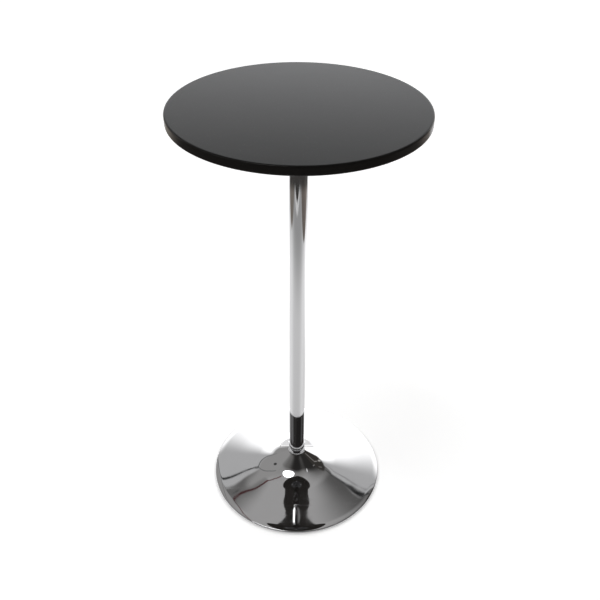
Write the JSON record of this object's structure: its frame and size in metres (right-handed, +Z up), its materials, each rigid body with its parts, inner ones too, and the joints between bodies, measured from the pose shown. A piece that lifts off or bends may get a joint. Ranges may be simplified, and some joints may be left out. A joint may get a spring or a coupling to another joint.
{
  "type": "pub table",
  "caption": "Round black pub table on one chromed column and a spun trumpet base, for standing or stool-height use.",
  "frame": {"origin": "on the floor at the middle of the column, under the centre of the base", "axes": "+Z up along the column; the table is round, so +X and +Y are free"},
  "size_m": [0.508, 0.508, 1],
  "materials": {
    "black_top": "satin black lacquer over fibreboard, fine grain",
    "chrome": "polished chrome plate on steel",
    "satin_chrome": "satin chrome plate",
    "black_steel": "black powder coat on pressed steel",
    "plain_steel": "turned steel, light zinc plate",
    "cast_iron": "rough cast iron, dip painted",
    "brass": "machined brass",
    "rubber": "black moulded rubber"
  },
  "bodies": {
    "root": {"table_top": "black_top", "top_inserts": "brass", "mounting_dish": "black_steel", "dish_washers": "plain_steel", "dish_screws": "plain_steel", "dish_hub": "plain_steel", "column_tube": "chrome", "tie_rod": "plain_steel", "rod_lock_nut": "plain_steel", "rod_washer": "plain_steel", "rod_spring_washer": "plain_steel", "rod_nut": "plain_steel", "neck_collar": "satin_chrome", "base_shell": "chrome", "base_hub": "plain_steel", "base_pan": "black_steel", "ballast_ring": "cast_iron", "ballast_screws": "plain_steel", "floor_ring": "rubber"}
  },
  "joints": []
}
